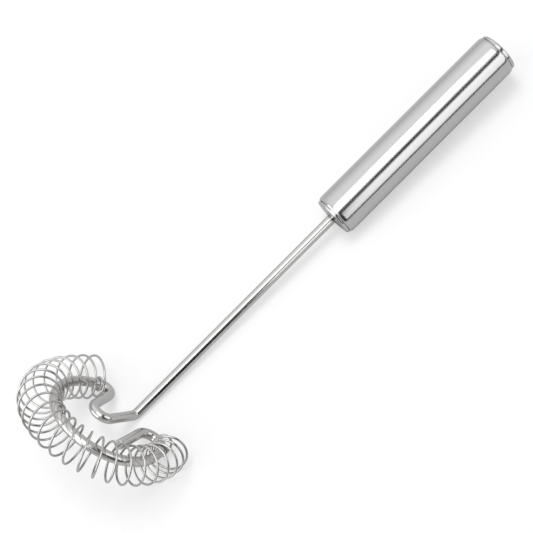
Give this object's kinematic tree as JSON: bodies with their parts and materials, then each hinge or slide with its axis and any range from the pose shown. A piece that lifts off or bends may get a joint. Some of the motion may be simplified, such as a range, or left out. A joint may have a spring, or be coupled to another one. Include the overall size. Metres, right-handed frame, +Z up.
{
  "type": "spiral whisk",
  "caption": "Stainless steel spiral whisk: a plain round tube handle, a long wire shaft with a sharp knee, and an open wire ring that carries a loose coil spring for beating sauces.",
  "frame": {"origin": "on the table, under the middle of the whisk's bounding box", "axes": "+X along the shaft towards the butt of the handle, +Z up with the ring standing up, +Y to the side of the neck's hairpin"},
  "size_m": [0.2578, 0.0776, 0.0522],
  "materials": {
    "tube_steel": "satin stainless steel, fine grain along the tube",
    "cap_steel": "polished stainless steel",
    "wire_steel": "polished stainless steel wire",
    "spring_steel": "bright drawn stainless steel wire"
  },
  "bodies": {
    "root": {"handle_tube": "tube_steel", "front_cap": "cap_steel", "end_cap": "cap_steel", "bent_wire": "wire_steel", "coil_spring": "spring_steel"}
  },
  "joints": []
}
